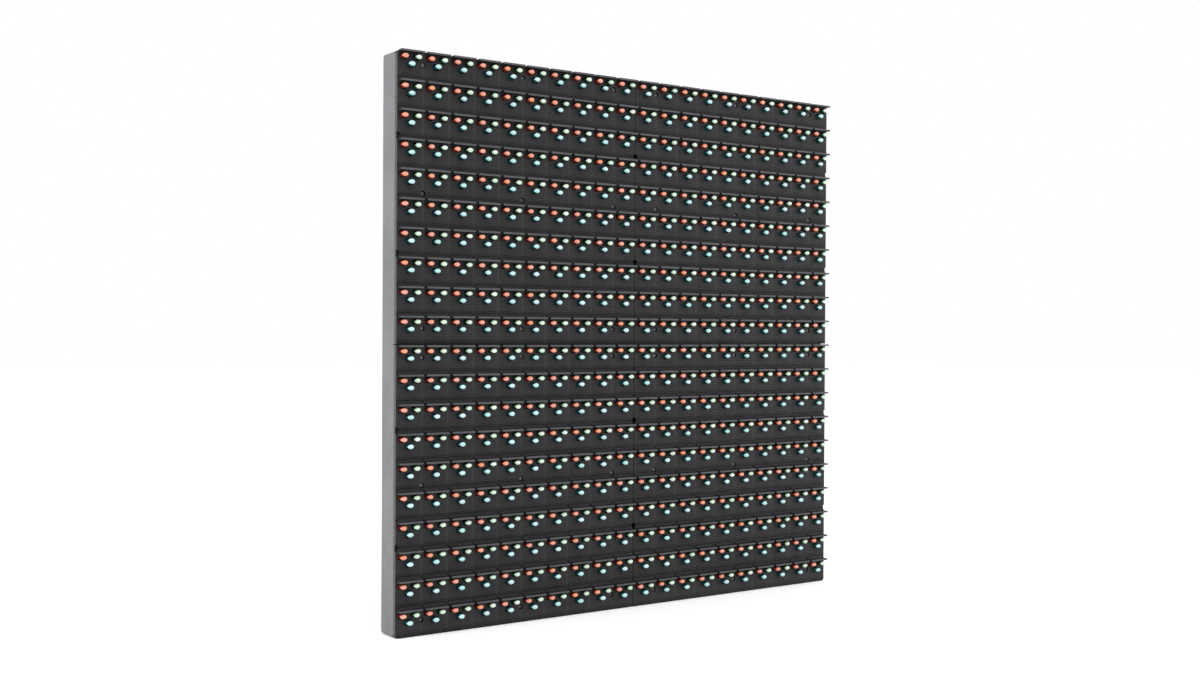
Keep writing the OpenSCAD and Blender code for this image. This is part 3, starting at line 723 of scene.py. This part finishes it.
# keeps the joints that lie clear of every rib, boss and part on the board
def clearSpots(spots, room):
    x, z = spots[:, 0], spots[:, 2]
    rounds = [(c * panel["pitch"], screwZ, room["screwBoss"]) for c in screws["columns"] for screwZ in screwZs]
    rounds += [(x0, z0, room["insertBoss"]) for x0 in insertXs for z0 in insertZs]
    rounds += [(-layout["pinX"], ribHigh, room["pinBoss"]), (layout["pinX"], ribLow, room["pinBoss"])]
    rounds += [(0, z0, room["latch"]) for z0 in layout["latchZs"]]
    boxes = [(s[0], s[2], chip["size"][0] / 2 + room["chip"][0], chip["size"][2] / 2 + room["chip"][1])
             for chip in chips.values() for s in chip["spots"]]
    boxes += [(side * layout["headerX"], cellZ[2], *room["header"]) for side in (-1, 1)]
    boxes += [(layout["powerX"], cellZ[1], *room["power"])]
    boxes += [(c * panel["pitch"], screwZ, *room["web"]) for c in layout["webColumns"] for screwZ in screwZs]
    for partSpots, kind in ((canSpots, "can"), (resistorSpots, "resistor"), (ceramicSpots, "ceramic")):
        boxes += [(s[0], s[2], *room[kind]) for s in partSpots]
    keep = (abs(x) < room["board"]) & (abs(z - panel["midZ"]) < room["board"])
    for line in layout["ribXs"]:
        keep &= abs(x - line) > room["rib"]
    for line in (ribLow, ribMid, ribHigh):
        keep &= abs(z - line) > room["rib"]
    for x0, z0, r in rounds:
        keep &= (x - x0) ** 2 + (z - z0) ** 2 > r * r
    for x0, z0, w, h in boxes:
        keep &= (abs(x - x0) > w) | (abs(z - z0) > h)
    return spots[keep]


def makeSolder(size):
    spots = [gridSpots(*lampLines(dx + side * size["spread"], dz))
             for dx, dz in lampPlaces.values() for side in (-1, 1)]
    joint = turnedShape(size["profile"], size["segments"])
    points, quads, tris = repeatShape(*joint, clearSpots(np.concatenate(spots), clearance))
    tin = makeSteel("solderTin", dark=(0.55, 0.55, 0.56), pale=(0.82, 0.82, 0.82), roughness=0.22)
    makePiece("lampSolder", points, quads, tin, tris=tris, smoothUnder=70)


canSpots = np.concatenate([gridSpots(cellX[1:3] + side * layout["canX"], cellZ[[0, 3]] + layout["can"])
                           for side in (-1, 1)])
resistorSpots = np.concatenate([gridSpots(cellX + side * layout["resistorX"],
                                          cellZ + layout["driver"] + side * layout["resistorStep"])
                                for side in (-1, 1)])
ceramicSpots = gridSpots(cellX, cellZ + layout["ceramic"])
makeSolder(solder)
print("solder made")


# small parts: resistors and ceramic capacitors with tinned ends

smallParts = {"resistor": {"node": "chip_resistors", "size": (0.0032, 0.0006, 0.0016), "end": 0.0005,
                           "slot": "resistor_ceramic", "spots": resistorSpots},
              "ceramic": {"node": "ceramic_capacitors", "size": (0.002, 0.0012, 0.00125), "end": 0.00045,
                          "slot": "capacitor_ceramic", "spots": ceramicSpots}}
smallBody = {"depth": 0.96, "edge": 0.85, "inset": 0.00006, "top": 0.97, "endEdge": 0.9, "endInset": 0.00008}
smallFinish = {"roughness": 0.5, "specular": 0.5, "patches": 900.0, "grainScale": 4000.0, "grain": 0.00001}


# a body a little narrower and lower than the two ends that clasp it
def makeSmallPart(name, part, material):
    width, height, depth = part["size"]
    rings = [(0, 0), (0, height * smallBody["edge"]), (smallBody["inset"], height * smallBody["top"])]
    body = blockShape(width - 2 * part["end"], depth * smallBody["depth"], rings)
    points, quads, _ = repeatShape(*body, part["spots"])
    makePiece(name + "Bodies", points, quads, material, replaces=(part["node"],),
              smoothUnder=0)
    ends = np.concatenate([part["spots"] + [s * (width - part["end"]) / 2, 0, 0] for s in (-1, 1)])
    rings = [(0, 0), (0, height * smallBody["endEdge"]), (smallBody["endInset"], height)]
    points, quads, _ = repeatShape(*blockShape(part["end"], depth, rings), ends)
    makePiece(name + "Ends", points, quads, tinned, smoothUnder=0)


resistorFilm = makeSpeckled("resistorFilm", dark=(0.012, 0.012, 0.014), pale=(0.03, 0.03, 0.034), **smallFinish)
tanCeramic = makeSpeckled("tanCeramic", dark=(0.3, 0.2, 0.11), pale=(0.45, 0.32, 0.19), **smallFinish)
makeSmallPart("resistor", smallParts["resistor"], resistorFilm)
makeSmallPart("ceramic", smallParts["ceramic"], tanCeramic)


# electrolytic capacitors: drawn cans with a crimp, on a base with two cut corners, and a dark mark on top

cans = {"base": 0.0083, "baseHeight": 0.0012, "cut": 0.0016, "segments": 28,
        "profile": [(0.0037, 0.0012), (0.004, 0.0015), (0.004, 0.0022), (0.00375, 0.0025), (0.00375, 0.0027),
                    (0.004, 0.003), (0.004, 0.0071), (0.0039, 0.0074), (0.0036, 0.0076), (0.0034, 0.0076),
                    (0.0033, 0.00752)],
        "markAngles": (118, 242), "markSteps": 15, "markRadius": 0.0033, "markTop": 0.00755, "markThick": 0.0001}


# base: an outline with two cut corners, raised through its height
def makeBases(size):
    half, cut = size["base"] / 2, size["cut"]
    x = np.array([-half, half, half, half - cut, cut - half, -half])
    z = np.array([-half, -half, half - cut, half, half, half - cut])
    n = len(x)
    heights = np.array([0, size["baseHeight"]])
    points = np.concatenate([pointList(x, heights[:, None], z), pointList(0, heights, 0)])
    tris = np.concatenate([fanTris(0, n, 2 * n, True), fanTris(n, n, 2 * n + 1)])[:, ::-1]
    points, quads, tris = repeatShape(points, ringQuads(2, n)[:, ::-1], tris, canSpots)
    makePiece("canBases", points, quads, chipPlastic, replaces=("capacitor_bases",),
              tris=tris, smoothUnder=0)


def makeCans(size):
    points, quads, tris = repeatShape(*turnedShape(size["profile"], size["segments"]), canSpots)
    aluminium = makeSteel("drawnAluminium", dark=(0.62, 0.63, 0.64), pale=(0.8, 0.8, 0.81), roughness=0.28)
    makePiece("canShells", points, quads, aluminium, replaces=("capacitor_cans",), tris=tris)


# mark on the can: the part of a disc past a chord, x from the chord to the rim
def makeCanMarks(size):
    angle = np.linspace(*np.radians(size["markAngles"]), size["markSteps"])
    rim = pointList(size["markRadius"] * np.cos(angle), size["markTop"], size["markRadius"] * np.sin(angle))
    points = np.concatenate([rim, rim + [0, -size["markThick"], 0]])
    points, quads, tris = repeatShape(points, *slabFaces(len(angle)), canSpots)
    makePiece("canMarks", points, quads, chipPlastic, tris=tris, smoothUnder=0)


makeBases(cans)
makeCans(cans)
makeCanMarks(cans)
print("small parts made")


# threaded inserts: plain brass bushes, with the thread cut inside

inserts = {"outer": 0.0028, "bore": 0.002, "pitch": 0.0007, "depth": 0.00018, "length": 0.008, "chamfer": 0.0002,
           "segments": 28, "steps": 58}


# inner wall: r = bore + depth * |saw(y/pitch - a/2pi)|, then the outer wall, closed into a tube
def makeInserts(size):
    angle = circle(size["segments"])
    y = np.linspace(0, size["length"], size["steps"])
    saw = abs(((y[:, None] / size["pitch"] - angle / (2 * np.pi)) % 1) - 0.5) * 2
    inner = size["bore"] + size["depth"] * saw
    inner[[0, -1]] = size["bore"] + size["depth"]
    radius = np.concatenate([inner, np.full((3, len(angle)), size["outer"])])
    radius[-2] = size["outer"] - size["chamfer"]
    depth = np.concatenate([y, [size["length"], size["length"] / 2, 0]])[:, None]
    points = pointList(radius * np.cos(angle), rearY - size["length"] + depth, radius * np.sin(angle))
    quads = ringQuads(len(radius), len(angle), closed=True)
    points, quads, _ = repeatShape(points, quads, noTris, gridSpots(insertXs, insertZs, 0.0))
    makePiece("insertThreads", points, quads, brass, replaces=("threaded_inserts",), smoothUnder=40)


brass = makeSteel("turnedBrass", dark=(0.55, 0.4, 0.16), pale=(0.72, 0.55, 0.26), roughness=0.26)
makeInserts(inserts)
dress(["guide_pins"], brass)
dress(["header_pins"], makeSteel("goldFlash", dark=(0.75, 0.55, 0.2), pale=(0.88, 0.7, 0.34), roughness=0.22))
dress(["power_pins"], tinned)


# connectors and latches

plugFinish = {"specular": 0.45, "patches": 200.0, "grainScale": 3000.0, "grain": 0.00002}
headerPlastic = makeSpeckled("headerPlastic", dark=(0.012, 0.012, 0.013), pale=(0.024, 0.024, 0.026),
                             roughness=0.42, **plugFinish)
nylon = makeSpeckled("naturalNylon", dark=(0.62, 0.6, 0.53), pale=(0.72, 0.7, 0.64), roughness=0.48, **plugFinish)
zinc = makeSteel("zincPlate", dark=(0.42, 0.43, 0.45), pale=(0.64, 0.65, 0.67), roughness=0.3, clouds=220.0)
dress(["data_in_header", "data_out_header"], headerPlastic)
dress(["power_connector"], nylon)
dress(["upper_shaft", "upper_arm", "upper_nut", "lower_shaft", "lower_arm", "lower_nut"], zinc)
print("rear parts dressed")


# floor and light

studio = {"floor": 12.0, "floorY": -0.0001, "floorColour": (0.9, 0.9, 0.9), "lift": 0.1, "world": 1.0}
lights = {"leftSoft": {"place": (-1.5, 0.1, 0.62), "target": (-0.16, 0, 0.16), "power": 10, "size": 1.2},
          "rightSoft": {"place": (0.74, -0.52, 0.3), "target": (0.14, 0, 0.16), "power": 1.5, "size": 0.5},
          "topSoft": {"place": (-0.2, -0.9, 1.5), "target": (0, 0, 0.16), "power": 12, "size": 1.2}}


def makeFloor(size):
    material, _, shader = newMaterial("paleFloor", Roughness=0.9, Specular_IOR_Level=0.1,
                                      Base_Color=(*size["floorColour"], 1), Emission_Color=(1, 1, 1, 1),
                                      Emission_Strength=size["lift"])
    half = size["floor"] / 2
    corners = pointList(np.array([-half, half, half, -half]), np.array([-half, -half, half, half]), size["floorY"])
    mesh = bpy.data.meshes.new("floor")
    fillMesh(mesh, corners, np.array([[0, 1, 2, 3]]))
    mesh.materials.append(material)
    floor = bpy.data.objects.new("floor", mesh)
    bpy.context.scene.collection.objects.link(floor)


def makeLight(name, light):
    data = bpy.data.lights.new(name, "AREA")
    data.shape, data.energy = "RECTANGLE", light["power"]
    data.size, data.size_y = light["size"], light["size"]
    lamp = bpy.data.objects.new(name, data)
    bpy.context.scene.collection.objects.link(lamp)
    aim = (Vector(light["target"]) - Vector(light["place"])).to_track_quat("-Z", "Y")
    lamp.matrix_world = Matrix.Translation(light["place"]) @ aim.to_matrix().to_4x4()


def makeWorld(strength):
    world = bpy.data.worlds.new("studioWorld")
    bpy.context.scene.world = world
    world.use_nodes = True
    back = world.node_tree.nodes["Background"]
    back.inputs[0].default_value, back.inputs[1].default_value = (1, 1, 1, 1), strength


makeFloor(studio)
makeWorld(studio["world"])
for name, light in lights.items():
    makeLight(name, light)
print("stage and light ready")
